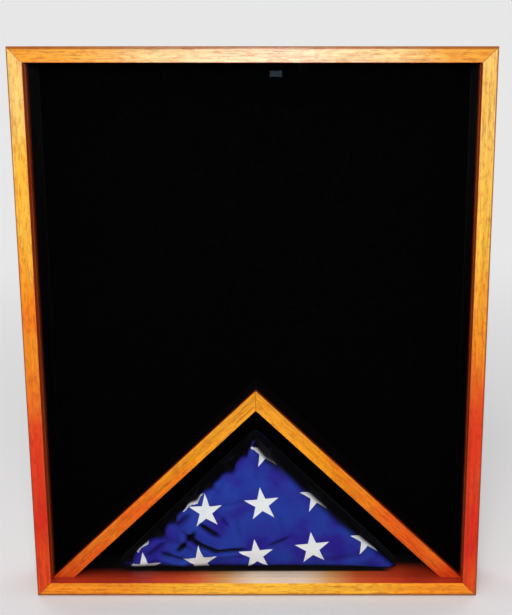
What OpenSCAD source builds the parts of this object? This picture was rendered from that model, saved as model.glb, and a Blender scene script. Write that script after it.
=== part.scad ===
// Flag and memorabilia display case: a mitred box frame with a glass front, two bars that
// make a triangular house for a folded flag, and a felt-faced back that lifts off.
// +X right, +Y to the back, +Z up. The origin is under the middle of the bottom rail.

/* [Frame] */
// Overall width of the case
case_w = 584; // [500:1:760]
// Overall height of the case
case_h = 711; // [600:1:900]
// Depth of the frame boards, front to back
case_d = 89; // [84:1:120]
// Thickness of the frame boards
stock_t = 19; // [18:0.5:26]
// Radius of the eased outer front edge
front_ease = 3; // [1:0.5:5]

/* [Glass] */
// Depth of the lip in front of the glass
lip_d = 12; // [9:0.5:14]
// Thickness of the glass
glass_t = 2.4; // [2:0.1:3]
// Depth of the groove that the glass stands in
groove_d = 6; // [4:0.5:8]
// Clearance on each face of the glass in its groove
glass_gap = 0.3; // [0.2:0.1:0.6]

/* [Flag house] */
// Height of the peak above the floor
peak_h = 261; // [230:1:300]
// Thickness of the two bars
bar_t = 19; // [12:1:22]
// Gap from the bars to the glass and to the felt
bar_gap = 1; // [0.5:0.5:2]

/* [Folded flag] */
// Length of the folded flag along the floor
flag_w = 386; // [300:1:400]
// Height of the folded flag
flag_h = 187; // [140:1:195]
// Thickness of the folded flag
flag_t = 43; // [35:1:48]
// Radius of the folds at the flag's corners
flag_fold_r = 6; // [3:0.5:10]
// Gap under and behind the flag
flag_gap = 1; // [0.4:0.2:2]

/* [Back] */
// Width of the rebate that takes the back panel
rebate_w = 5; // [4:0.5:6]
// Thickness of the back panel
panel_t = 6; // [4:0.5:8]
// How far the panel sits below the back face of the frame
panel_recess = 0.5; // [0.3:0.1:1]
// Clearance around the panel in its rebate
panel_gap = 0.8; // [0.4:0.1:1.5]
// Thickness of the felt-covered board
felt_t = 2.5; // [2:0.5:4]
// Clearance around the felt-covered board
felt_gap = 1; // [0.5:0.5:2]

/* [Turn buttons] */
// Overall length of a turn button
button_l = 34; // [26:1:40]
// Width of a turn button
button_w = 10; // [8:0.5:12]
// Thickness of a turn button
button_t = 1.6; // [1.2:0.2:2.4]
// Clearance under and over a turn button
button_gap = 0.1; // [0.1:0.05:0.3]
// Height of the lower pair of side buttons
low_button_z = 190; // [120:5:240]
// Height of the upper pair of side buttons
high_button_z = 440; // [320:5:480]
// Radius of the pivot screw's shank
pivot_r = 1.75; // [1.5:0.05:2]
// Running clearance of the pivot in its button
pivot_gap = 0.06; // [0.02:0.01:0.1]

/* [Hangers] */
// Height of the ring pivots
hanger_z = 560; // [500:5:585]
// Width of a strap plate
strap_w = 7.4; // [6:0.2:7.6]
// Length of a strap plate
strap_l = 31; // [30:1:40]
// Thickness of a strap plate
strap_t = 1.4; // [1:0.1:1.6]
// Radius of the ring wire
wire_r = 1.2; // [1:0.1:1.3]
// Half width of the ring, to the middle of its wire
ring_half_w = 5.4; // [5.3:0.1:5.6]
// Length of the ring's straight legs
ring_leg = 6; // [4:0.5:7]
// Running clearance of the ring in its barrel
ring_gap = 0.06; // [0.02:0.01:0.1]

/* [Nails and screws] */
// Radius of a finish nail
nail_r = 0.8; // [0.6:0.1:1.2]
// Length of the nails across the frame mitres
mitre_nail_l = 38; // [30:1:45]
// Length of the nails at the peak
peak_nail_l = 32; // [25:1:36]
// How far the foot nails reach into the bars
foot_bite = 9; // [6:0.5:10]
// Distance between the two nails across a mitre
mitre_nail_pitch = 44; // [40:1:50]
// Distance between the two nails in an end of a bar
bar_nail_pitch = 26; // [20:1:30]
// Clearance around a nail or a screw in its hole
hole_gap = 0.05; // [0.02:0.01:0.1]

/* [Wall bumpers] */
// Radius of a rubber bumper
bumper_r = 5.5; // [4:0.5:6.5]
// Height of a rubber bumper
bumper_h = 5; // [3:0.5:6]
// Height of the bumpers above the bottom of the case
bumper_z = 40; // [20:1:80]

/* [Hidden] */
$fn = 48;
EPS = 0.5;                                   // how far a cutter runs past the face it opens
inner_w = case_w - 2 * stock_t;
inner_h = case_h - 2 * stock_t;
front_y = -case_d / 2;
back_y = case_d / 2;
floor_z = stock_t;

groove_w = glass_t + 2 * glass_gap;
glass_y = front_y + lip_d + glass_gap;       // front face of the glass
rebate_d = panel_t + panel_recess;
panel_y = back_y - rebate_d;                 // front face of the back panel
felt_y = panel_y - felt_t;                   // front face of the felt

bar_y0 = front_y + lip_d + groove_w + bar_gap;
bar_y1 = felt_y - bar_gap;
bar_a = atan2(peak_h, inner_w / 2);          // slope of the bars
foot_w = bar_t / sin(bar_a);                 // width of a bar where it stands on the floor
drop_h = bar_t / cos(bar_a);                 // height of the mitre at the peak

land_w = stock_t - rebate_w;                 // flat strip left behind the rebate
land_mid = land_w / 2;                       // middle of that strip, from the outer face
side_x = case_w / 2 - land_mid;              // middle of the strip on each stile

flag_back_y = felt_y - flag_gap;

mitre_nail_ys = [-mitre_nail_pitch / 2, mitre_nail_pitch / 2];
bar_mid_y = (bar_y0 + bar_y1) / 2;
bar_nail_ys = [bar_mid_y - bar_nail_pitch / 2, bar_mid_y + bar_nail_pitch / 2];
nail_head_r = 1.5 * nail_r;
nail_head_t = 1.2;
nail_set = 0.5;                              // how far a nail's head is punched below the face

screw_head_r = 3.5;
screw_head_h = 2.2;
pivot_screw_l = 15;
strap_screw_r = 1.4;
strap_screw_l = 15;
strap_head_r = 2.6;
strap_head_h = 1.5;
strap_screw_zs = [-17, -26];                 // strap screws, down from the ring's pivot
recess_w = 0.8;                              // width of a slot in a cross recess
recess_d = 0.8;

ring_lift = 0.4;                             // gap from the hanging ring to its plate
barrel_wall = 1.2;
pin_y = back_y + strap_t + wire_r + ring_lift;
barrel_r = wire_r + barrel_wall;
barrel_l = strap_w - 2 * ring_lift;

// A turn button: where its pivot is, and which way its bar points when it is open
BUTTONS = [
    [-side_x, low_button_z, 90], [-side_x, high_button_z, 90],
    [side_x, low_button_z, 90], [side_x, high_button_z, 90],
    [0, case_h - land_mid, 0], [0, land_mid, 0]
];

// ---- shared shapes ----

// Turns what is drawn upright so that its top points to the back
module facing_back() {
    rotate([-90, 0, 0]) children();
}

// A low dome that stands on the XY plane
module dome(r, h) {
    ball_r = (r * r + h * h) / (2 * h);
    intersection() {
        translate([0, 0, h - ball_r]) sphere(r = ball_r, $fn = 64);
        translate([-r, -r, 0]) cube([2 * r, 2 * r, h]);
    }
}

// A screw that points down, with its head on the XY plane
module screw(shank_r, shank_l, head_r, head_h) {
    tip_l = 2 * shank_r;
    point_r = 0.2;
    difference() {
        dome(head_r, head_h);
        for (a = [0, 90]) rotate([0, 0, a])
            translate([-head_r / 2, -recess_w / 2, head_h - recess_d])
                cube([head_r, recess_w, recess_d + EPS]);
    }
    translate([0, 0, tip_l - shank_l]) cylinder(r = shank_r, h = shank_l - tip_l);
    translate([0, 0, -shank_l]) cylinder(r1 = point_r, r2 = shank_r, h = tip_l);
}

// The hole that such a screw is driven into
module screw_hole(shank_r, shank_l) {
    translate([0, 0, -shank_l - 1]) cylinder(r = shank_r + hole_gap, h = shank_l + 1 + EPS);
}

// A finish nail that points down, with its head just under the XY plane
module nail(l, gap = 0) {
    translate([0, 0, -nail_set - nail_head_t])
        cylinder(r = nail_head_r + gap, h = nail_head_t + (gap > 0 ? nail_set + EPS : 0));
    translate([0, 0, -l - gap]) cylinder(r = nail_r + gap, h = l + gap - nail_set - nail_head_t / 2);
}

// ---- nails and screws in their places ----

// Two nails across each of the four mitres, driven in from the sides
module mitre_nails(gap = 0) {
    for (side = [-1, 1], z = [stock_t / 2, case_h - stock_t / 2], y = mitre_nail_ys)
        translate([side * case_w / 2, y, z]) rotate([0, side * 90, 0]) nail(mitre_nail_l, gap);
}

// Nails up through the bottom rail into the feet of the bars
module foot_nails(gap = 0) {
    for (side = [-1, 1], y = bar_nail_ys)
        translate([side * (inner_w - foot_w) / 2, y, 0])
            rotate([180, 0, 0]) nail(stock_t + foot_bite, gap);
}

// Nails through the left bar into the end of the right one
module peak_nails(gap = 0) {
    start_x = -bar_t / (4 * sin(bar_a));
    start_z = floor_z + peak_h + start_x * tan(bar_a);
    for (y = bar_nail_ys)
        translate([start_x, y, start_z]) rotate([0, bar_a - 90, 0]) nail(peak_nail_l, gap);
}

module at_button(i) {
    translate([BUTTONS[i][0], back_y, BUTTONS[i][1]]) facing_back() children();
}

module button_screw_holes() {
    for (i = [0 : len(BUTTONS) - 1]) at_button(i) screw_hole(pivot_r, pivot_screw_l);
}

module at_strap_screws() {
    for (side = [-1, 1], z = strap_screw_zs)
        translate([side * side_x, back_y, hanger_z + z]) facing_back() children();
}

// ---- frame boards ----

// Section of a board: its outer face is at 0, its inner face at the stock's thickness
module board_section() {
    difference() {
        translate([front_y, 0]) square([case_d, stock_t]);
        translate([front_y + lip_d, stock_t - groove_d]) square([groove_w, groove_d + EPS]);
        translate([back_y - rebate_d, stock_t - rebate_w])
            square([rebate_d + EPS, rebate_w + EPS]);
        difference() {
            translate([front_y - EPS, -EPS]) square(front_ease + EPS);
            translate([front_y + front_ease, front_ease]) circle(r = front_ease);
        }
    }
}

// A board with both ends mitred, lying as the bottom rail does
module mitred_board(length) {
    intersection() {
        rotate([90, 0, 90]) linear_extrude(length, center = true) board_section();
        rotate([90, 0, 0]) linear_extrude(case_d + 2, center = true)
            polygon([[-length / 2, 0], [length / 2, 0],
                     [length / 2 - stock_t, stock_t], [stock_t - length / 2, stock_t]]);
    }
}

module bottom_rail() {
    color("#e58a22") difference() {
        mitred_board(case_w);
        mitre_nails(hole_gap);
        foot_nails(hole_gap);
        button_screw_holes();
    }
}

module top_rail() {
    color("#f2b04a") difference() {
        translate([0, 0, case_h]) mirror([0, 0, 1]) mitred_board(case_w);
        mitre_nails(hole_gap);
        button_screw_holes();
    }
}

module stile(side) {
    difference() {
        translate([side * case_w / 2, 0, case_h / 2]) rotate([0, -side * 90, 0])
            mitred_board(case_h);
        mitre_nails(hole_gap);
        button_screw_holes();
        at_strap_screws() screw_hole(strap_screw_r, strap_screw_l - strap_t);
    }
}

module left_stile() {
    color("#e8832a") stile(-1);
}

module right_stile() {
    color("#e67a28") stile(1);
}

module glass_pane() {
    pane_w = inner_w + 2 * groove_d - 2 * glass_gap;
    pane_h = inner_h + 2 * groove_d - 2 * glass_gap;
    color("#c8d8dc", 0.3) translate([-pane_w / 2, glass_y, floor_z - groove_d])
        cube([pane_w, glass_t, pane_h]);
}

// ---- flag house ----

// The left bar: its foot stands on the floor, its other end is mitred at the peak
module bar_blank() {
    translate([0, bar_y1, 0]) rotate([90, 0, 0]) linear_extrude(bar_y1 - bar_y0)
        polygon([[-inner_w / 2, floor_z], [foot_w - inner_w / 2, floor_z],
                 [0, floor_z + peak_h - drop_h], [0, floor_z + peak_h]]);
}

module left_divider() {
    color("#eb9a30") difference() {
        bar_blank();
        foot_nails(hole_gap);
        peak_nails(hole_gap);
    }
}

module right_divider() {
    color("#e88f2c") difference() {
        mirror([1, 0, 0]) bar_blank();
        foot_nails(hole_gap);
        peak_nails(hole_gap);
    }
}

module corner_brads() {
    color("#6d6a66") mitre_nails();
}

module divider_brads() {
    color("#6d6a66") {
        foot_nails();
        peak_nails();
    }
}

// The flag folded to a triangle, with round folds along its edges
module folded_flag() {
    fold_x = flag_w / 2 - flag_fold_r;
    fold_z = flag_h - flag_fold_r;
    color("#2b3f93") translate([0, flag_back_y, floor_z + flag_gap]) rotate([90, 0, 0])
        linear_extrude(flag_t) hull() {
            for (x = [-fold_x, fold_x]) translate([x, flag_fold_r]) circle(r = flag_fold_r, $fn = 24);
            translate([0, fold_z]) circle(r = flag_fold_r, $fn = 24);
        }
}

// ---- back ----

module back_panel() {
    panel_w = inner_w + 2 * (rebate_w - panel_gap);
    panel_h = inner_h + 2 * (rebate_w - panel_gap);
    color("#b58a5a") translate([-panel_w / 2, panel_y, (case_h - panel_h) / 2])
        cube([panel_w, panel_t, panel_h]);
}

module felt_board() {
    felt_w = inner_w - 2 * felt_gap;
    felt_h = inner_h - 2 * felt_gap;
    color("#0c0c0e") translate([-felt_w / 2, felt_y, (case_h - felt_h) / 2])
        cube([felt_w, felt_t, felt_h]);
}

// An oblong plate that turns about a hole near one end
module turn_button(i) {
    end_r = button_w / 2;
    color("#c9a24d") at_button(i) rotate([0, 0, BUTTONS[i][2]])
        translate([0, 0, button_gap]) linear_extrude(button_t) difference() {
            union() {
                circle(r = end_r);
                translate([0, -end_r]) square([button_l - button_w, button_w]);
                translate([button_l - button_w, 0]) circle(r = end_r);
            }
            circle(r = pivot_r + pivot_gap);
        }
}

module turn_button_screws() {
    color("#b9964a") for (i = [0 : len(BUTTONS) - 1]) at_button(i) {
        translate([0, 0, 2 * button_gap + button_t])
            screw(pivot_r, pivot_screw_l, screw_head_r, screw_head_h);
    }
}

// ---- hangers and bumpers ----

// A strap plate with a barrel along its top, in which the ring's pin turns
module hanger_plate(side) {
    color("#b8b8ba") translate([side * side_x, 0, hanger_z]) difference() {
        union() {
            translate([-strap_w / 2, back_y, -strap_l]) cube([strap_w, strap_t, strap_l]);
            translate([0, pin_y, 0]) rotate([0, 90, 0])
                cylinder(r = barrel_r, h = barrel_l, center = true);
        }
        translate([0, pin_y, 0]) rotate([0, 90, 0])
            cylinder(r = wire_r + ring_gap, h = barrel_l + 2 * EPS, center = true);
        for (z = strap_screw_zs) translate([0, back_y - EPS, z]) facing_back()
            cylinder(r = strap_screw_r + hole_gap, h = strap_t + 2 * EPS);
    }
}

// A D ring of round wire, hanging from its straight pin
module hanger_ring(side) {
    color("#c4c4c6") translate([side * side_x, pin_y, hanger_z]) {
        rotate([0, 90, 0]) cylinder(r = wire_r, h = 2 * ring_half_w, center = true);
        for (x = [-ring_half_w, ring_half_w]) translate([x, 0, 0]) {
            sphere(r = wire_r);
            translate([0, 0, -ring_leg]) cylinder(r = wire_r, h = ring_leg);
        }
        translate([0, 0, -ring_leg]) rotate([-90, 0, 0])
            rotate_extrude(angle = 180) translate([ring_half_w, 0]) circle(r = wire_r);
    }
}

module hanger_screws() {
    color("#a9a9ab") at_strap_screws() translate([0, 0, strap_t])
        screw(strap_screw_r, strap_screw_l, strap_head_r, strap_head_h);
}

module wall_bumpers() {
    color("#2a2a2c") for (side = [-1, 1])
        translate([side * side_x, back_y, bumper_z]) facing_back() dome(bumper_r, bumper_h);
}

top_rail();
bottom_rail();
left_stile();
right_stile();
glass_pane();
left_divider();
right_divider();
corner_brads();
divider_brads();
back_panel();
felt_board();
turn_button(0);  // turn_button_left_low
turn_button(1);  // turn_button_left_high
turn_button(2);  // turn_button_right_low
turn_button(3);  // turn_button_right_high
turn_button(4);  // turn_button_top
turn_button(5);  // turn_button_bottom
turn_button_screws();
hanger_plate(-1);  // hanger_plate_left
hanger_plate(1);  // hanger_plate_right
hanger_ring(-1);  // hanger_ring_left
hanger_ring(1);  // hanger_ring_right
hanger_screws();
wall_bumpers();
folded_flag();
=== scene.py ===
"""Looks of the flag display case: stained oak, glass, black felt, a folded flag and the back's hardware."""

import math

import bmesh
import bpy
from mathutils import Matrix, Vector, noise


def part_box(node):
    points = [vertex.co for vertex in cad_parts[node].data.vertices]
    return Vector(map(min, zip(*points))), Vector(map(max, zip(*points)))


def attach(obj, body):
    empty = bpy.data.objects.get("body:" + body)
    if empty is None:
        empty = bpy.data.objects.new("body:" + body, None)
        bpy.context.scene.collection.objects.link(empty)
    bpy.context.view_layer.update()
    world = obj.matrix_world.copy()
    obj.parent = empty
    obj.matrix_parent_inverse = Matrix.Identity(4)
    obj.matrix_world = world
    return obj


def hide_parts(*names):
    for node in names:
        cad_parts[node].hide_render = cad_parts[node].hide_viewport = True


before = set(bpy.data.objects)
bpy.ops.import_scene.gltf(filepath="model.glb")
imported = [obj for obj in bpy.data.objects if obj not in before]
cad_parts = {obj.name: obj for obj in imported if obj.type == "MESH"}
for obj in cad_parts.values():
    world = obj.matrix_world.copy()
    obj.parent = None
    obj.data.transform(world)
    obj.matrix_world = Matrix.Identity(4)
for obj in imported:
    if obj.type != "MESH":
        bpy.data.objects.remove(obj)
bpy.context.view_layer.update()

MM = 0.001
SCENE = bpy.context.scene

# ---- sizes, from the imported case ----

CASE_LOW, CASE_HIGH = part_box("bottom_rail")[0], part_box("top_rail")[1]
HALF_W = CASE_HIGH.x
CASE_H = CASE_HIGH.z
FRONT_Y = CASE_LOW.y
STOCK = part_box("left_stile")[1].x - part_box("left_stile")[0].x
GROOVE_D = 6 * MM
INNER_HALF_W = HALF_W - STOCK
FLOOR_Z, CEILING_Z = STOCK, CASE_H - STOCK
GLASS_FRONT_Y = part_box("glass_pane")[0].y
PANEL_FRONT_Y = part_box("back_panel")[0].y
BAR_LOW, BAR_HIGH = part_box("left_divider")
FLAG_LOW, FLAG_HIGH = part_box("folded_flag")
BAR_SLOPE = math.atan2(BAR_HIGH.z - FLOOR_Z, INNER_HALF_W)


# ---- building materials out of nodes ----

def new_material(name):
    """An empty material: its node tree and its Principled shader."""
    material = bpy.data.materials.new(name)
    material.use_nodes = True
    return material, material.node_tree, material.node_tree.nodes["Principled BSDF"]


def add(tree, kind, inputs=None, **settings):
    """One shader node, with its settings, and its sockets set or linked."""
    made = tree.nodes.new("ShaderNode" + kind)
    for name, value in settings.items():
        setattr(made, name, value)
    for name, value in (inputs or {}).items():
        if isinstance(value, bpy.types.NodeSocket):
            tree.links.new(value, made.inputs[name])
        else:
            made.inputs[name].default_value = value
    return made


def calc(tree, operation, *terms, clamp=False):
    """The result of one sum on numbers."""
    made = add(tree, "Math", dict(enumerate(terms)), operation=operation, use_clamp=clamp)
    return made.outputs[0]


def mix(tree, share, first, second, blend="MIX"):
    """A mix of two colours."""
    made = add(tree, "Mix", {0: share, 6: first, 7: second}, data_type="RGBA", blend_type=blend)
    return made.outputs[2]


def fade(tree, value, start, end, low=0.0, high=1.0):
    """A number that goes smoothly from low to high as value goes from start to end."""
    made = add(tree, "MapRange", {"Value": value, "From Min": start, "From Max": end,
                                  "To Min": low, "To Max": high}, interpolation_type="SMOOTHSTEP")
    return made.outputs[0]


def ramp(tree, value, stops):
    """Colours along a scale, given as (place, colour)."""
    made = add(tree, "ValToRGB", {0: value})
    scale = made.color_ramp
    while len(scale.elements) < len(stops):
        scale.elements.new(0.5)
    for element, (place, shade) in zip(scale.elements, stops):
        element.position = place
        element.color = shade
    return made.outputs[0]


def set_shader(shader, **values):
    """Sets constants on a shader's own sockets."""
    for name, value in values.items():
        shader.inputs[name.replace("_", " ")].default_value = value


def colour(red, green, blue):
    """A colour given as it looks, from 0 to 255, in the renderer's linear scale."""
    def linear(c):
        c /= 255
        return c / 12.92 if c <= 0.04045 else ((c + 0.055) / 1.055) ** 2.4
    return (linear(red), linear(green), linear(blue), 1.0)


def object_place(tree):
    """Object coordinates."""
    return add(tree, "TexCoord").outputs["Object"]


def axes(tree, vector):
    """The x, y and z of a vector."""
    return add(tree, "SeparateXYZ", {0: vector}).outputs[:]


def scaled(tree, vector, scale):
    """Coordinates times a scale of their own each way."""
    return add(tree, "Mapping", {"Vector": vector, "Scale": scale}).outputs[0]


def speckle(tree, place, scale, detail=2.0, roughness=0.5, distortion=0.0):
    """Noise at the given number of grains to the metre."""
    made = add(tree, "TexNoise", {"Vector": place, "Scale": scale, "Detail": detail,
                                  "Roughness": roughness, "Distortion": distortion})
    return made.outputs[0]


def bump(tree, shader, height, distance, strength=1.0):
    """Raises the surface by a height field; distance is its full height in metres."""
    made = add(tree, "Bump", {"Height": height, "Distance": distance, "Strength": strength})
    tree.links.new(made.outputs[0], shader.inputs["Normal"])


# ---- wood ----

PORE_BROWN = colour(120, 44, 10)
# Near black, for the painted shade deep inside the case
PAINTED_DEEP_SHADE = colour(13, 3, 3)
# Across the case, where the painted highlights on the rails and on the floor strip are brightest
HIGHLIGHT_X = 28 * MM


def grain_place(tree, place, lean, board):
    """Coordinates that run along, through and across the grain of one board."""
    turned = add(tree, "Mapping", {"Vector": place, "Rotation": (0, lean, 0)}).outputs[0]
    shifted = add(tree, "Mapping", {"Vector": turned, "Location": (0.37 * board, 0.11 * board, 0.23 * board)})
    return shifted.outputs[0]


def stretched(tree, grain, along, across):
    """Grain coordinates scaled to so many grains to the metre each way."""
    return scaled(tree, grain, (along, across, across))


def within(tree, x, z, more):
    """1 inside the case's opening, made larger by some margin, 0 elsewhere."""
    narrow = calc(tree, "LESS_THAN", calc(tree, "ABSOLUTE", x), INNER_HALF_W + more)
    above = calc(tree, "GREATER_THAN", z, FLOOR_Z - more)
    below = calc(tree, "LESS_THAN", z, CEILING_Z + more)
    return calc(tree, "MULTIPLY", narrow, calc(tree, "MULTIPLY", above, below))


def inside_case(tree, x, y, z):
    """1 on the faces that look into the case and in the glass's groove, 0 elsewhere."""
    groove = calc(tree, "GREATER_THAN", y, GLASS_FRONT_Y - 1 * MM)
    groove = calc(tree, "MULTIPLY", groove, within(tree, x, z, GROOVE_D + 1 * MM))
    return calc(tree, "MAXIMUM", within(tree, x, z, 0.4 * MM), groove)


def frame_edges(tree, x, z):
    """How far a point is from the case's sides, and from its nearer end."""
    from_side = calc(tree, "SUBTRACT", HALF_W, calc(tree, "ABSOLUTE", x))
    from_end = calc(tree, "MINIMUM", z, calc(tree, "SUBTRACT", CASE_H, z))
    return from_side, from_end


def edge_shade_and_mitres(tree, x, y, z, bar):
    """How dark the eased front edges are, a painted shade on their rounding, and the thin dark joints of the
    mitres.
    """
    if bar:
        return calc(tree, "MULTIPLY", fade(tree, calc(tree, "ABSOLUTE", x), 0.8 * MM, 0.2 * MM), 0.75)
    from_side, from_end = frame_edges(tree, x, z)
    # Painted shade on the eased edges of the front
    eased = calc(tree, "MAXIMUM", fade(tree, from_side, 2.8 * MM, 1.2 * MM),
                 fade(tree, from_end, 4.6 * MM, 2.4 * MM))
    eased = calc(tree, "MULTIPLY", eased, fade(tree, y, FRONT_Y + 4 * MM, FRONT_Y + 2 * MM))
    apart = calc(tree, "ABSOLUTE", calc(tree, "SUBTRACT", from_side, from_end))
    mitre = calc(tree, "MULTIPLY", fade(tree, apart, 0.8 * MM, 0.2 * MM), 0.7)
    return calc(tree, "MAXIMUM", calc(tree, "MULTIPLY", eased, 0.8), mitre)


def paint_inner_light_and_shade(tree, stain_and_painted_light, x, y, z, bar):
    """Paints light and shade on the faces that look into the case: painted shade down to nearly black towards
    the felt, a painted shadow under the flag and a painted highlight on the floor strip.
    """
    if bar:
        # Painted shade: the bars' sides a deeper red, nearly black further in
        behind = fade(tree, y, BAR_LOW.y + 0.2 * MM, BAR_LOW.y + 1.0 * MM)
        stain_and_painted_light = mix(tree, calc(tree, "MULTIPLY", behind, 0.9), stain_and_painted_light, colour(206, 48, 12))
        return mix(tree, fade(tree, y, BAR_LOW.y + 2 * MM, BAR_LOW.y + 13 * MM), stain_and_painted_light, PAINTED_DEEP_SHADE)
    inner = inside_case(tree, x, y, z)
    floor = calc(tree, "LESS_THAN", z, FLOOR_Z + 1 * MM)
    # Painted shade on the walls near the front, and a painted highlight on the floor strip, palest near its
    # middle
    floor_highlight = fade(tree, calc(tree, "ABSOLUTE", calc(tree, "SUBTRACT", x, HIGHLIGHT_X)), 190 * MM, 20 * MM)
    near = mix(tree, floor, colour(170, 56, 20), ramp(tree, floor_highlight, FLOOR_TONES))
    stain_and_painted_light = mix(tree, calc(tree, "MULTIPLY", inner, 0.93), stain_and_painted_light, near)
    # Painted shade: the floor and the walls darken to nearly black further in
    depth = calc(tree, "SUBTRACT", y, fade(tree, x, -100 * MM, 100 * MM, 0.0, 18 * MM))
    on_floor = mix(tree, fade(tree, depth, FRONT_Y + 14 * MM, FRONT_Y + 46 * MM), stain_and_painted_light, PAINTED_DEEP_SHADE)
    # Painted shadow under the flag
    beside = fade(tree, calc(tree, "ABSOLUTE", x), FLAG_HIGH.x, FLAG_HIGH.x - 25 * MM)
    flag_shadow = calc(tree, "MULTIPLY", beside, fade(tree, y, FRONT_Y + 31 * MM, FRONT_Y + 36 * MM))
    on_floor = mix(tree, flag_shadow, on_floor, PAINTED_DEEP_SHADE)
    on_wall = mix(tree, fade(tree, y, FRONT_Y + 13 * MM, FRONT_Y + 33 * MM), stain_and_painted_light, PAINTED_DEEP_SHADE)
    return mix(tree, inner, stain_and_painted_light, mix(tree, floor, on_wall, on_floor))


def oak(name, lean, board, tones, bar=False, level=False):
    """Stained and lacquered oak, its grain at an angle from level in the plane of the case's front."""
    material, tree, shader = new_material(name)
    place = object_place(tree)
    x, y, z = axes(tree, place)
    grain = grain_place(tree, place, lean, board)

    rings = speckle(tree, stretched(tree, grain, 5, 260), 1.0, 3.0, 0.6, 0.4)
    streaks = speckle(tree, stretched(tree, grain, 34, 760), 1.0, 2.0, 0.6)
    pores = fade(tree, streaks, 0.56, 0.66)
    fine = speckle(tree, stretched(tree, grain, 120, 3600), 1.0, 2.0)
    fine_pores = fade(tree, fine, 0.58, 0.7)
    clouds = speckle(tree, stretched(tree, grain, 9, 22), 1.0, 2.0)
    flecks = speckle(tree, stretched(tree, grain, 90, 240), 1.0, 3.0, 0.6)

    # The tones carry painted light: stiles and bars paler upwards, rails paler towards their middle, where
    # the lamp's sheen falls
    where = calc(tree, "DIVIDE", z, CASE_H)
    if level:
        where = calc(tree, "DIVIDE", calc(tree, "ABSOLUTE", calc(tree, "SUBTRACT", x, HIGHLIGHT_X)), HALF_W)
    if not bar:
        # Behind the front faces the tones, with their painted light, are more even
        aside = fade(tree, y, FRONT_Y + 1 * MM, FRONT_Y + 6 * MM, 0.0, 0.8)
        where = calc(tree, "ADD", calc(tree, "MULTIPLY", where, calc(tree, "SUBTRACT", 1.0, aside)),
                     calc(tree, "MULTIPLY", aside, 0.5))
    stain_and_painted_light = ramp(tree, calc(tree, "ADD", where, fade(tree, clouds, 0.3, 0.7, -0.07, 0.07)), tones)
    stain_and_painted_light = mix(tree, fade(tree, rings, 0.35, 0.65, 0.0, 0.22), stain_and_painted_light, PORE_BROWN, "MULTIPLY")
    stain_and_painted_light = mix(tree, fade(tree, flecks, 0.48, 0.64, 0.0, 0.42), stain_and_painted_light, colour(214, 140, 44), "MULTIPLY")
    stain_and_painted_light = mix(tree, calc(tree, "MULTIPLY", pores, 0.42), stain_and_painted_light, PORE_BROWN)
    stain_and_painted_light = mix(tree, calc(tree, "MULTIPLY", fine_pores, 0.22), stain_and_painted_light, PORE_BROWN)

    # Painted shade on the eased front edges, and the dark joints of the mitres
    stain_and_painted_light = mix(tree, edge_shade_and_mitres(tree, x, y, z, bar), stain_and_painted_light, colour(140, 64, 22))
    stain_and_painted_light = paint_inner_light_and_shade(tree, stain_and_painted_light, x, y, z, bar)
    tree.links.new(stain_and_painted_light, shader.inputs["Base Color"])

    gloss = fade(tree, clouds, 0.3, 0.7, 0.30, 0.38)
    gloss = calc(tree, "ADD", gloss, calc(tree, "MULTIPLY", pores, 0.14))
    tree.links.new(gloss, shader.inputs["Roughness"])
    set_shader(shader, Anisotropic=0.85, Coat_Weight=0.2, Coat_Roughness=0.18, Specular_IOR_Level=0.35)
    normal = add(tree, "NewGeometry").outputs["Normal"]
    fibre = (math.cos(lean), 0.0, math.sin(lean))
    across = add(tree, "VectorMath", {0: normal, 1: fibre}, operation="CROSS_PRODUCT").outputs[0]
    tree.links.new(across, shader.inputs["Tangent"])

    relief = calc(tree, "SUBTRACT", calc(tree, "MULTIPLY", rings, 0.3), calc(tree, "ADD", pores, fine_pores))
    bump(tree, shader, relief, 0.12 * MM, 0.6)
    return material


# ---- the other finishes ----

def clear_glass():
    """Thin clear picture glass: what is behind it shows, with a faint mirror that strengthens at a slant."""
    material, tree, shader = new_material("clear_glass")
    place = object_place(tree)
    facing = add(tree, "LayerWeight", {"Blend": 0.5}).outputs["Facing"]
    slant = calc(tree, "POWER", facing, 5.0)
    mirror = calc(tree, "ADD", calc(tree, "MULTIPLY", slant, 0.9), 0.045)
    outside = calc(tree, "SUBTRACT", 1.0, add(tree, "NewGeometry").outputs["Backfacing"])
    mirror = calc(tree, "MULTIPLY", mirror, outside)
    smears = speckle(tree, place, 14.0, 4.0, 0.6, 1.5)
    clear = add(tree, "BsdfTransparent", {"Color": (0.975, 0.985, 0.98, 1)})
    glossy = add(tree, "BsdfGlossy", {"Color": (0.93, 0.95, 1.0, 1),
                                      "Roughness": fade(tree, smears, 0.4, 0.75, 0.01, 0.06)})
    pane = add(tree, "MixShader", {0: mirror, 1: clear.outputs[0], 2: glossy.outputs[0]})
    tree.nodes.remove(shader)
    tree.links.new(pane.outputs[0], tree.nodes["Material Output"].inputs["Surface"])
    return material


def black_felt():
    """Pressed black felt, with a short nap and a little lint."""
    material, tree, shader = new_material("black_felt")
    place = object_place(tree)
    nap = speckle(tree, place, 1500.0, 3.0, 0.7)
    tufts = speckle(tree, place, 260.0, 3.0, 0.6, 0.8)
    lint = fade(tree, speckle(tree, place, 330.0, 1.0), 0.80, 0.84)
    shade = mix(tree, fade(tree, tufts, 0.3, 0.7), (0.0006, 0.0006, 0.0008, 1), (0.0016, 0.0016, 0.0019, 1))
    shade = mix(tree, calc(tree, "MULTIPLY", lint, 0.5), shade, (0.02, 0.02, 0.022, 1))
    tree.links.new(shade, shader.inputs["Base Color"])
    set_shader(shader, Roughness=1.0, Specular_IOR_Level=0.0)
    bump(tree, shader, calc(tree, "ADD", nap, tufts), 0.35 * MM, 0.8)
    return material


PLY_PAIR = 2.4 * MM


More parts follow.
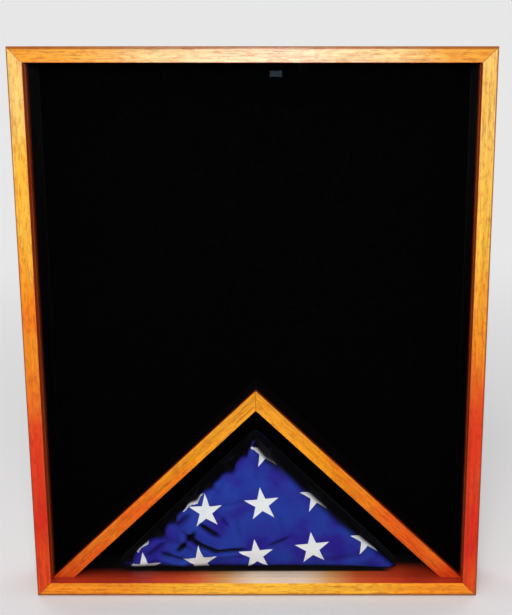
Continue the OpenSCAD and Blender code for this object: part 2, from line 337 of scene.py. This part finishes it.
def plywood():
    """Thin birch plywood: upright grain on its faces, and its plies in stripes along its edges."""
    material, tree, shader = new_material("plywood")
    place = object_place(tree)
    depth = axes(tree, place)[1]
    grain = grain_place(tree, place, math.radians(90), 9)
    figure = speckle(tree, stretched(tree, grain, 3, 42), 1.0, 4.0, 0.6, 1.2)
    streaks = speckle(tree, stretched(tree, grain, 18, 1100), 1.0, 2.0)
    face = mix(tree, fade(tree, figure, 0.35, 0.65), colour(222, 190, 146), colour(200, 160, 112))
    face = mix(tree, fade(tree, streaks, 0.55, 0.75, 0.0, 0.35), face, colour(150, 108, 66))
    plies = calc(tree, "SINE", calc(tree, "MULTIPLY", depth, 2 * math.pi / PLY_PAIR))
    normal = add(tree, "NewGeometry").outputs["Normal"]
    edge = fade(tree, calc(tree, "ABSOLUTE", axes(tree, normal)[1]), 0.6, 0.3)
    face = mix(tree, calc(tree, "MULTIPLY", edge, fade(tree, plies, -0.2, 0.4)), face, colour(138, 92, 52))
    # The face towards the felt is near black: painted shade for the thin gap round the felt
    inner_face = calc(tree, "LESS_THAN", depth, PANEL_FRONT_Y + 0.2 * MM)
    face = mix(tree, inner_face, face, (0.002, 0.002, 0.002, 1))
    tree.links.new(face, shader.inputs["Base Color"])
    tree.links.new(fade(tree, figure, 0.3, 0.7, 0.55, 0.72), shader.inputs["Roughness"])
    set_shader(shader, Specular_IOR_Level=0.15)
    bump(tree, shader, calc(tree, "ADD", figure, streaks), 0.15 * MM, 0.5)
    return material


def brass():
    """Stamped brass, brushed and a little tarnished."""
    material, tree, shader = new_material("brass")
    place = object_place(tree)
    brushed = speckle(tree, scaled(tree, place, (5200, 900, 260)), 1.0, 2.0)
    tarnish = speckle(tree, place, 210.0, 4.0, 0.65)
    shade = mix(tree, fade(tree, tarnish, 0.45, 0.75), colour(222, 178, 92), colour(150, 104, 48))
    tree.links.new(shade, shader.inputs["Base Color"])
    tree.links.new(fade(tree, tarnish, 0.4, 0.8, 0.26, 0.5), shader.inputs["Roughness"])
    set_shader(shader, Metallic=1.0)
    bump(tree, shader, brushed, 0.02 * MM, 0.5)
    return material


def zinc_steel(name="zinc_steel", tint=colour(188, 190, 192), tarnish_tint=colour(112, 112, 108)):
    """Zinc plated steel, with its faint mottled bloom."""
    material, tree, shader = new_material(name)
    place = object_place(tree)
    bloom = speckle(tree, place, 420.0, 4.0, 0.65, 0.6)
    scratches = speckle(tree, scaled(tree, place, (300, 300, 4200)), 1.0, 2.0)
    shade = mix(tree, fade(tree, bloom, 0.4, 0.75), tint, tarnish_tint)
    tree.links.new(shade, shader.inputs["Base Color"])
    tree.links.new(fade(tree, bloom, 0.35, 0.75, 0.24, 0.5), shader.inputs["Roughness"])
    set_shader(shader, Metallic=1.0)
    bump(tree, shader, scratches, 0.02 * MM, 0.4)
    return material


def black_rubber():
    """Moulded black rubber, faintly pitted and dusty."""
    material, tree, shader = new_material("black_rubber")
    place = object_place(tree)
    pits = speckle(tree, place, 1800.0, 3.0, 0.6)
    dust = speckle(tree, place, 160.0, 3.0)
    dusty = fade(tree, dust, 0.45, 0.75, 0.0, 0.5)
    shade = mix(tree, dusty, (0.012, 0.012, 0.012, 1), (0.05, 0.048, 0.045, 1))
    tree.links.new(shade, shader.inputs["Base Color"])
    tree.links.new(fade(tree, dust, 0.3, 0.7, 0.55, 0.8), shader.inputs["Roughness"])
    bump(tree, shader, pits, 0.06 * MM, 0.6)
    return material


# Tones along the boards, partly the wood's own colour and partly painted light: paler where the lamp's sheen
# falls
STILE_TONES = [(0.0, colour(230, 78, 10)), (0.16, colour(218, 36, 8)), (0.36, colour(222, 68, 8)),
               (0.54, colour(234, 138, 8)), (0.74, colour(238, 182, 56)), (1.0, colour(232, 190, 100))]
TOP_TONES = [(0.0, colour(234, 192, 146)), (0.48, colour(236, 200, 134)),
             (0.75, colour(232, 162, 52)), (1.0, colour(228, 148, 30))]
BOTTOM_TONES = [(0.0, colour(254, 192, 46)), (0.4, colour(254, 184, 40)),
                (0.7, colour(252, 154, 14)), (1.0, colour(250, 144, 10))]
# The floor strip's painted highlight: pale in its middle, deep red at its ends
FLOOR_TONES = [(0.0, colour(176, 10, 5)), (0.08, colour(210, 40, 10)), (0.5, colour(226, 80, 14)),
               (0.8, colour(240, 170, 96)), (1.0, colour(255, 226, 196))]
BAR_TONES = [(0.03, colour(236, 74, 12)), (0.12, colour(244, 108, 10)),
             (0.25, colour(252, 160, 10)), (0.4, colour(252, 166, 26))]


def ease_edges(*nodes):
    """Sanded edges on boards; their triangles are first joined, so that their edges can be found."""
    for name in nodes:
        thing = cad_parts[name]
        thing.modifiers.new("joined", "WELD").merge_threshold = 0.01 * MM
        eased = thing.modifiers.new("eased", "BEVEL")
        eased.width = 0.7 * MM
        eased.segments = 2
        eased.limit_method = "ANGLE"
        eased.angle_limit = math.radians(40)


def finish(material, *nodes):
    """Gives CAD nodes their material."""
    for name in nodes:
        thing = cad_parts[name]
        thing.data.materials.clear()
        thing.data.materials.append(material)


def finish_case():
    """Every piece of the case that keeps its CAD shape gets its finish."""
    finish(oak("top_rail_oak", 0.0, 1, TOP_TONES, level=True), "top_rail")
    finish(oak("bottom_rail_oak", 0.0, 2, BOTTOM_TONES, level=True), "bottom_rail")
    finish(oak("left_stile_oak", math.pi / 2, 3, STILE_TONES), "left_stile")
    finish(oak("right_stile_oak", math.pi / 2, 4, STILE_TONES), "right_stile")
    finish(oak("left_bar_oak", BAR_SLOPE, 5, BAR_TONES, True), "left_divider")
    finish(oak("right_bar_oak", -BAR_SLOPE, 6, BAR_TONES, True), "right_divider")
    finish(clear_glass(), "glass_pane")
    finish(black_felt(), "felt_board")
    finish(plywood(), "back_panel")
    nail_steel = zinc_steel("nail_steel", colour(150, 148, 144), colour(86, 78, 70))
    finish(nail_steel, "corner_brads", "divider_brads")
    finish(brass(), "turn_button_left_low", "turn_button_left_high", "turn_button_right_low",
           "turn_button_right_high", "turn_button_top", "turn_button_bottom", "turn_button_screws")
    finish(zinc_steel(), "hanger_plate_left", "hanger_plate_right", "hanger_ring_left",
           "hanger_ring_right", "hanger_screws")
    finish(black_rubber(), "wall_bumpers")
    ease_edges("top_rail", "bottom_rail", "left_stile", "right_stile", "left_divider", "right_divider",
               "back_panel")


# ---- the folded flag ----

FLAG_BASE_Z = FLAG_LOW.z
FLAG_FACE_Y = FLAG_LOW.y + 1.5 * MM
LEFT_TOE = Vector((FLAG_LOW.x + 1 * MM, FLAG_BASE_Z))
RIGHT_TOE = Vector((FLAG_HIGH.x - 1 * MM, FLAG_BASE_Z))
PEAK = Vector((-3 * MM, FLAG_HIGH.z))
CLOTH_STEP = 3.0 * MM
MOST_SWELL = 4.0 * MM
FREE_SWELL, SPARE_SWELL = 1.5 * MM, 2.3 * MM
CLOTH_FRAMES = 20

# The stars' grid on the cloth: one star's place, and the steps to its neighbours along a row and up a column
STAR_START = Vector((-1.6 * MM, 42.0 * MM))
STAR_STEP_ROW = Vector((76.0 * MM, 10.6 * MM))
STAR_STEP_UP = Vector((8.0 * MM, 74.4 * MM))
STAR_R = 24.5 * MM
STAR_NOTCH = 0.382
STAR_TILT = math.radians(6.0)
UPPER_LAYER_STAR = Vector((-91 * MM, 121 * MM))
LOWER_LAYER_STAR = Vector((-153 * MM, 46 * MM))
MAP_MIDDLE = Vector((0.5, 0.5))

# Places where the loose left side is tucked in: how far along it, how deep and how wide
LEFT_TUCKS = [(0.07, 9, 0.035), (0.29, 11, 0.03), (0.39, 6, 0.018), (0.55, 4, 0.03),
              (0.66, 4, 0.02), (0.80, 6, 0.03), (0.91, 4, 0.02)]

# Creases in the front layer, in millimetres: from, to, how deep and how wide
CREASES = [((-76, 85), (-54, 69), 6.5, 3.6),
           ((-48, 96), (-40, 84), 4.0, 2.4),
           ((-100, 74), (-80, 57), 5.5, 3.6),
           ((-80, 57), (-56, 46), 6.5, 3.4),
           ((-56, 46), (-16, 50), 5.0, 2.6),
           ((16, 55), (42, 67), 4.2, 2.6),
           ((-84, 74), (-108, 46), 5.0, 3.6),
           ((-132, 44), (-98, 33), 5.5, 3.6),
           ((-150, 38), (-126, 58), 3.4, 3.2),
           ((-112, 80), (-92, 98), 3.2, 3.2),
           ((-120, 62), (-84, 48), 2.6, 12.0),
           ((0, 176), (4, 140), 2.0, 4.5),
           ((-48, 111), (-16, 120), 2.0, 3.6),
           ((96, 33), (176, 47), 1.8, 5.0),
           ((-30, 96), (-22, 66), 2.6, 3.4),
           ((30, 100), (36, 76), 1.8, 4.0)]


def smooth(value, start, end):
    """0 before start, 1 after end, and smooth between them."""
    t = min(1.0, max(0.0, (value - start) / (end - start)))
    return t * t * (3 - 2 * t)


def side_of_flag(toe, spot):
    """For one sloping side: its outward direction, how far inside it a spot is, and how far up it."""
    along = (PEAK - toe).normalized()
    out = Vector((-along.y, along.x)) if toe is LEFT_TOE else Vector((along.y, -along.x))
    if out.y < 0:
        out.negate()
    return out, (toe - spot).dot(out), (spot - toe).dot(along) / (PEAK - toe).length


def flag_block():
    """The folded flag as a plain three-cornered block with rounded folds."""
    shape = bmesh.new()
    corners = [LEFT_TOE, RIGHT_TOE, PEAK + Vector((3 * MM, 0)), PEAK - Vector((3 * MM, 0))]
    face = shape.faces.new([shape.verts.new((spot.x, FLAG_FACE_Y, spot.y)) for spot in corners])
    grown = bmesh.ops.extrude_face_region(shape, geom=[face])
    back = [v for v in grown["geom"] if isinstance(v, bmesh.types.BMVert)]
    bmesh.ops.translate(shape, verts=back, vec=(0, FLAG_HIGH.y - FLAG_FACE_Y, 0))
    bmesh.ops.recalc_face_normals(shape, faces=shape.faces)
    bmesh.ops.bevel(shape, geom=list(shape.edges), offset=5 * MM, segments=4, profile=0.5,
                    affect="EDGES", material=-1)
    mesh = bpy.data.meshes.new("flag_bundle")
    shape.to_mesh(mesh)
    shape.free()
    return mesh


def new_piece(name, mesh, body):
    """A piece at the origin that rides on a body of the case."""
    thing = bpy.data.objects.new(name, mesh)
    SCENE.collection.objects.link(thing)
    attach(thing, body)
    return thing


def apply_modifiers(thing):
    """Bakes a piece's modifiers into its mesh."""
    shown = thing.evaluated_get(bpy.context.evaluated_depsgraph_get())
    mesh = bpy.data.meshes.new_from_object(shown)
    thing.modifiers.clear()
    thing.data = mesh


def even_mesh(thing, step):
    """Remeshes a piece into even squares."""
    remesh = thing.modifiers.new("even_cloth", "REMESH")
    remesh.mode = "VOXEL"
    remesh.voxel_size = step
    apply_modifiers(thing)


def finer_mesh(thing):
    """Subdivides a piece once."""
    finer = thing.modifiers.new("finer", "SUBSURF")
    finer.levels = finer.render_levels = 1
    apply_modifiers(thing)


def cloth_spot(x, y, z, star_at):
    """Where a point of the bundle lies on the cloth's map, carried round the folds, from one of its stars."""
    spot = Vector((x, z))
    depth = max(0.0, y - FLAG_FACE_Y - 2.5 * MM)
    right_out, right_in, _ = side_of_flag(RIGHT_TOE, spot)
    left_out, left_in, _ = side_of_flag(LEFT_TOE, spot)
    out = min((right_in, right_out[:]), (left_in, left_out[:]), (z - FLAG_BASE_Z, (0.0, -1.0)))[1]
    return spot + Vector(out) * depth - star_at + MAP_MIDDLE


def lay_cloth_map(mesh):
    """Maps the flag's cloth. The left side shows the layers below, each with a star of its own."""
    layer = mesh.uv_layers.new(name="cloth")
    for polygon in mesh.polygons:
        x, y, z = polygon.center
        _, inside, _ = side_of_flag(LEFT_TOE, Vector((x, z)))
        star_at = STAR_START
        on_side = inside < 30 * MM and x < PEAK.x and FLAG_FACE_Y + 4 * MM < y < FLAG_HIGH.y - 3 * MM
        if on_side and z < 165 * MM:
            star_at = UPPER_LAYER_STAR if z > 78 * MM else LOWER_LAYER_STAR
        for index in polygon.loop_indices:
            spot = mesh.vertices[mesh.loops[index].vertex_index].co
            layer.data[index].uv = cloth_spot(*spot, star_at)


def settle_sides(mesh):
    """Pulls the front layer's sloping sides in, tight on the right, loose and tucked on the left."""
    for v in mesh.vertices:
        spot = Vector((v.co.x, v.co.z))
        front = 1 - smooth(v.co.y - FLAG_FACE_Y, 5 * MM, 17 * MM)
        for toe, pull, top_pull in ((RIGHT_TOE, 11 * MM, 8 * MM), (LEFT_TOE, 5 * MM, 4 * MM)):
            out, inside, up = side_of_flag(toe, spot)
            near = 1 - smooth(inside, 4 * MM, 34 * MM)
            if near <= 0 or not 0 < up < 1:
                continue
            draw = pull * math.sin(math.pi * up) ** 0.6 + top_pull * smooth(up, 0.6, 0.92)
            if toe is LEFT_TOE:
                close = 1 - smooth(inside, 2 * MM, 20 * MM)
                for at, deep, wide in LEFT_TUCKS:
                    draw += deep * MM * math.exp(-((up - at) / wide) ** 2) * close
                draw += 2.5 * MM * close * noise.noise(Vector((up * 26, v.co.y * 60, 3.0)))
            v.co.x -= out.x * draw * near * front
            v.co.z = max(FLAG_BASE_Z, v.co.z - out.y * draw * near * front)


def puff_up(thing):
    """Lets the cloth swell and buckle a little, with more slack on its left and along its foot."""
    held = thing.vertex_groups.new(name="held")
    slack = thing.vertex_groups.new(name="slack")
    start = [v.co.copy() for v in thing.data.vertices]
    for v in thing.data.vertices:
        back = smooth(v.co.y, FLAG_HIGH.y - 8 * MM, FLAG_HIGH.y - 2 * MM)
        foot = 1 - smooth(v.co.z, FLAG_BASE_Z + 1 * MM, FLAG_BASE_Z + 6 * MM)
        held.add([v.index], max(back, foot), "REPLACE")
        left = 1 - smooth(v.co.x, -70 * MM, 30 * MM)
        low = 1 - smooth(v.co.z, 45 * MM, 80 * MM)
        slack.add([v.index], min(1.0, 0.25 + 0.75 * left + 0.35 * low), "REPLACE")
    cloth = thing.modifiers.new("cloth", "CLOTH")
    settings = cloth.settings
    settings.quality = 4
    settings.mass = 0.2
    settings.tension_stiffness = settings.compression_stiffness = 12
    settings.shear_stiffness = 4
    settings.bending_stiffness = 0.15
    settings.use_pressure = True
    settings.uniform_pressure_force = 2.0
    settings.vertex_group_mass = "held"
    settings.vertex_group_shrink = "slack"
    settings.shrink_min = 0.0
    settings.shrink_max = -0.14
    settings.effector_weights.gravity = 0
    for step in range(CLOTH_FRAMES):
        SCENE.frame_set(step + 1)
    apply_modifiers(thing)
    thing.vertex_groups.clear()
    for v, was in zip(thing.data.vertices, start):
        move = v.co - was
        if move.length > MOST_SWELL:
            v.co = was + move.normalized() * MOST_SWELL
        v.co.z = max(v.co.z, FLAG_BASE_Z)
        v.co.y = min(v.co.y, FLAG_HIGH.y)


def crease_depth(x, z, start, end, deep, wide):
    """How far one crease sinks the cloth at a point, with the roll of cloth that stands beside it."""
    a, b = Vector(start) * MM, Vector(end) * MM
    line = b - a
    spot = Vector((x, z)) - a
    along = spot.dot(line) / line.length_squared
    if not -0.3 < along < 1.3:
        return 0.0
    off = (spot.x * line.y - spot.y * line.x) / line.length / (wide * MM)
    if abs(off) > 6:
        return 0.0
    taper = smooth(along, -0.3, 0.25) * (1 - smooth(along, 0.75, 1.3))
    return deep * MM * taper * (math.exp(-off * off) - 0.55 * math.exp(-((off - 2.1) / 1.3) ** 2))


def front_relief(x, z):
    """How far the creases and puckers sink the front layer at a point."""
    loose = 0.35 + 0.65 * (1 - smooth(x, -60 * MM, 30 * MM))
    sink = sum(crease_depth(x, z, *crease) for crease in CREASES)
    sink += 1.5 * MM * loose * noise.noise(Vector((x * 34, z * 34, 1.7)))
    sink += 0.6 * MM * loose * noise.noise(Vector((x * 110, z * 110, 7.1)))
    return sink


def clear_of_glass(y):
    """Flattens what swells far forward, so that the flag still clears the glass when it is slid up to it."""
    beyond = FLAG_LOW.y - FREE_SWELL - y
    if beyond <= 0:
        return y
    return FLAG_LOW.y - FREE_SWELL - SPARE_SWELL * (1 - math.exp(-beyond / SPARE_SWELL))


def side_layers(x, y, z):
    """How far the edges of the stacked layers dip at a point of the sloping sides."""
    band = smooth(y - FLAG_FACE_Y, 8 * MM, 12 * MM) * (1 - smooth(y, FLAG_HIGH.y - 5 * MM, FLAG_HIGH.y))
    wander = 1.5 * MM * noise.noise(Vector((x * 30, z * 30, 0.4)))
    return 1.1 * MM * band * (0.5 + 0.5 * math.cos((y + wander) * 2 * math.pi / (5.5 * MM)))


def press_creases(mesh):
    """Creases over the front, stacked layers down the sides, and a painted shade at each point: dark on the
    sloping sides, along the foot and in the creases.
    """
    painted_fold_shade = mesh.attributes.new("painted_fold_shade", "FLOAT", "POINT")
    for v in mesh.vertices:
        x, y, z = v.co
        toe = RIGHT_TOE if x > PEAK.x else LEFT_TOE
        out, inside, _ = side_of_flag(toe, Vector((x, z)))
        front = 1 - smooth(y - FLAG_FACE_Y, 6 * MM, 14 * MM)
        foot = 1 - smooth(z - FLAG_BASE_Z, 2 * MM, 9 * MM - 6 * MM * smooth(x, 100 * MM, 170 * MM))
        side = smooth(y - FLAG_FACE_Y, 2.8 * MM, 10 * MM)
        side *= 1 - smooth(y, FLAG_HIGH.y - 7 * MM, FLAG_HIGH.y - 2 * MM)
        # Painted shade on the sloping sides and along the foot
        shade = max(side, foot)
        if front > 0:
            sink = front_relief(x, z)
            v.co.y = clear_of_glass(y + front * (sink + 3 * MM * foot))
            # Painted shade in the creases
            shade = max(shade, smooth(sink, 0.8 * MM, 5.4 * MM))
        elif inside < 10 * MM and z > FLAG_BASE_Z + 3 * MM:
            dip = side_layers(x, y, z)
            v.co.x -= out.x * dip
            v.co.z -= out.y * dip
        painted_fold_shade.data[v.index].value = shade


def make_flag():
    """The folded flag, which stands for the CAD's plain three-cornered solid."""
    flag = new_piece("folded_flag_cloth", flag_block(), "flag")
    even_mesh(flag, CLOTH_STEP)
    settle_sides(flag.data)
    lay_cloth_map(flag.data)
    puff_up(flag)
    finer_mesh(flag)
    press_creases(flag.data)
    for polygon in flag.data.polygons:
        polygon.use_smooth = True
    flag.data.materials.clear()
    flag.data.materials.append(flag_cloth())
    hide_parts("folded_flag")


def flag_cloth():
    """Blue flag cloth with its white stars sewn on; the pattern follows the cloth's own map."""
    material, tree, shader = new_material("flag_cloth")
    place = object_place(tree)
    cloth = add(tree, "UVMap", uv_map="cloth").outputs[0]
    star, rim = star_shape(tree, cloth)
    threads = scaled(tree, cloth, (75, 75, 1))
    warp = add(tree, "TexWave", {"Vector": threads, "Scale": 6.0}, bands_direction="X").outputs[1]
    weft = add(tree, "TexWave", {"Vector": threads, "Scale": 6.0}, bands_direction="Y").outputs[1]
    weave = calc(tree, "MULTIPLY", warp, weft)
    clouds = speckle(tree, place, 24.0, 3.0, 0.55)
    blue = mix(tree, fade(tree, clouds, 0.35, 0.65), colour(38, 26, 138), colour(34, 58, 158))
    blue = mix(tree, calc(tree, "MULTIPLY", weave, 0.2), blue, colour(20, 18, 90))
    white = mix(tree, weave, (0.86, 0.86, 0.88, 1), (0.72, 0.72, 0.75, 1))
    # Painted shade: blue and white darken to near black on the sides, along the foot and in the creases
    painted_fold_shade = add(tree, "Attribute", attribute_name="painted_fold_shade").outputs["Fac"]
    blue = mix(tree, painted_fold_shade, blue, colour(3, 2, 10))
    white = mix(tree, calc(tree, "POWER", painted_fold_shade, 3.0), white, colour(14, 13, 24))
    tree.links.new(mix(tree, star, blue, white), shader.inputs["Base Color"])
    set_shader(shader, Roughness=0.62, Specular_IOR_Level=0.12, Sheen_Weight=0.03, Sheen_Roughness=0.4)
    height = calc(tree, "ADD", calc(tree, "MULTIPLY", weave, 0.25), calc(tree, "ADD", star, rim))
    bump(tree, shader, height, 0.35 * MM, 0.8)
    return material


def star_shape(tree, cloth):
    """A grid of five-pointed stars on the cloth's map, 1 inside a star, and its stitched rim."""
    parts = axes(tree, cloth)
    across = calc(tree, "SUBTRACT", parts[0], MAP_MIDDLE.x)
    up = calc(tree, "SUBTRACT", parts[1], MAP_MIDDLE.y)
    area = STAR_STEP_ROW.x * STAR_STEP_UP.y - STAR_STEP_ROW.y * STAR_STEP_UP.x
    # How many steps along a row and up a column this point is
    row = calc(tree, "SUBTRACT", calc(tree, "MULTIPLY", across, STAR_STEP_UP.y / area),
               calc(tree, "MULTIPLY", up, STAR_STEP_UP.x / area))
    column = calc(tree, "SUBTRACT", calc(tree, "MULTIPLY", up, STAR_STEP_ROW.x / area),
                  calc(tree, "MULTIPLY", across, STAR_STEP_ROW.y / area))
    row = calc(tree, "SUBTRACT", row, calc(tree, "ROUND", row))
    column = calc(tree, "SUBTRACT", column, calc(tree, "ROUND", column))
    # Back to metres, from the middle of the nearest star
    dx = calc(tree, "ADD", calc(tree, "MULTIPLY", row, STAR_STEP_ROW.x),
              calc(tree, "MULTIPLY", column, STAR_STEP_UP.x))
    dz = calc(tree, "ADD", calc(tree, "MULTIPLY", row, STAR_STEP_ROW.y),
              calc(tree, "MULTIPLY", column, STAR_STEP_UP.y))
    reach = calc(tree, "ADD", calc(tree, "MULTIPLY", dx, dx), calc(tree, "MULTIPLY", dz, dz))
    reach = calc(tree, "SQRT", reach)
    turn = calc(tree, "ARCTAN2", dz, dx)
    # Folded into half a point of the star: 0 along the point, 36 degrees at the notch
    turn = calc(tree, "SUBTRACT", turn, math.pi / 2 + STAR_TILT)
    half_point = calc(tree, "PINGPONG", turn, math.pi / 5)
    px = calc(tree, "MULTIPLY", reach, calc(tree, "COSINE", half_point))
    py = calc(tree, "MULTIPLY", reach, calc(tree, "SINE", half_point))
    notch = Vector((STAR_NOTCH * math.cos(math.pi / 5), STAR_NOTCH * math.sin(math.pi / 5)))
    side = Vector((notch.y, 1 - notch.x)).normalized()
    past = calc(tree, "ADD", calc(tree, "MULTIPLY", px, side.x), calc(tree, "MULTIPLY", py, side.y))
    past = calc(tree, "SUBTRACT", past, side.x * STAR_R)
    star = fade(tree, past, 0.15 * MM, -0.15 * MM)
    rim = calc(tree, "MULTIPLY", fade(tree, past, -1.6 * MM, -0.9 * MM), star)
    return star, rim


# ---- floor, light and camera ----

FLOOR_R = 12.0
PALE_ROOM = (0.80, 0.80, 0.81, 1.0)
ROOM_LIGHT = 0.66


def studio_paper():
    """Pale matt studio paper that melts into the pale surroundings far from the case."""
    material, tree, shader = new_material("studio_paper")
    place = object_place(tree)
    tooth = speckle(tree, place, 300.0, 3.0)
    shade = mix(tree, tooth, (0.73, 0.73, 0.74, 1), (0.77, 0.77, 0.78, 1))
    tree.links.new(shade, shader.inputs["Base Color"])
    set_shader(shader, Roughness=0.9, Specular_IOR_Level=0.1)
    distance = add(tree, "VectorMath", {0: place}, operation="LENGTH").outputs["Value"]
    glow = add(tree, "Emission", {"Color": PALE_ROOM, "Strength": 1.0})
    melt = fade(tree, distance, 0.5, 2.6)
    far = add(tree, "MixShader", {0: melt, 1: shader.outputs[0], 2: glow.outputs[0]})
    tree.links.new(far.outputs[0], tree.nodes["Material Output"].inputs["Surface"])
    return material


def studio_floor():
    """A pale floor, so large that its edge is never seen."""
    shape = bmesh.new()
    bmesh.ops.create_circle(shape, cap_ends=True, segments=64, radius=FLOOR_R)
    mesh = bpy.data.meshes.new("studio_floor")
    shape.to_mesh(mesh)
    shape.free()
    mesh.materials.append(studio_paper())
    floor = bpy.data.objects.new("studio_floor", mesh)
    SCENE.collection.objects.link(floor)
    floor.visible_glossy = False


def pale_room():
    """A pale room all round. Only its back half shows in glossy things, so the glass stays clear."""
    world = bpy.data.worlds.new("studio")
    world.use_nodes = True
    tree = world.node_tree
    rays = add(tree, "LightPath").outputs
    direction = axes(tree, add(tree, "TexCoord").outputs["Generated"])
    back_half = fade(tree, direction[1], -0.1, 0.3, 0.0, 0.7)
    lit = calc(tree, "ADD", calc(tree, "MULTIPLY", rays["Is Glossy Ray"], back_half),
               calc(tree, "MULTIPLY", calc(tree, "SUBTRACT", 1.0, rays["Is Glossy Ray"]), ROOM_LIGHT))
    seen = calc(tree, "MAXIMUM", lit, rays["Is Camera Ray"])
    background = tree.nodes["Background"]
    background.inputs[0].default_value = PALE_ROOM
    tree.links.new(seen, background.inputs[1])
    SCENE.world = world


def soft_lamp(name, place, aim, size, power, tint=(1, 1, 1)):
    """A square soft lamp that points at a place."""
    lamp = bpy.data.lights.new(name, "AREA")
    lamp.shape = "RECTANGLE"
    lamp.size, lamp.size_y = size
    lamp.energy = power
    lamp.color = tint
    thing = bpy.data.objects.new(name, lamp)
    thing.location = place
    thing.rotation_euler = (Vector(aim) - Vector(place)).to_track_quat("-Z", "Y").to_euler()
    thing.visible_camera = False
    SCENE.collection.objects.link(thing)
    return thing


def light_studio():
    """Soft light from the front and above, a lamp beside the camera, and lamps for the back."""
    pale_room()
    middle = (0, 0, 0.36)
    soft_lamp("camera_lamp", (0.007, -1.40, 0.86), middle, (0.30, 0.20), 11)
    soft_lamp("glint_lamp", (0.007, -1.34, 0.66), (0.03, 0, 0.68), (0.030, 0.014), 0.0012, (0.6, 0.75, 1.0))
    soft_lamp("high_front", (-0.4, -2.0, 2.3), middle, (1.6, 1.2), 22)
    soft_lamp("high_back_left", (-1.4, 1.6, 1.9), middle, (1.2, 1.2), 10)
    soft_lamp("high_back_right", (1.4, 1.6, 1.9), middle, (1.2, 1.2), 10)


def place_camera():
    """A camera level with the top of the case, a little right of its middle, tipped down."""
    lens = bpy.data.cameras.new("camera")
    lens.sensor_width = 36.0
    lens.lens = 62.6
    lens.shift_x = -0.0605
    lens.clip_start, lens.clip_end = 0.05, 50.0
    camera = bpy.data.objects.new("camera", lens)
    camera.location = (0.0483, -1.343, 0.698)
    camera.rotation_euler = (math.radians(90 - 13.16), 0, 0)
    SCENE.collection.objects.link(camera)
    SCENE.camera = camera
    SCENE.view_settings.view_transform = "Standard"


place_camera()
light_studio()
studio_floor()
finish_case()
make_flag()
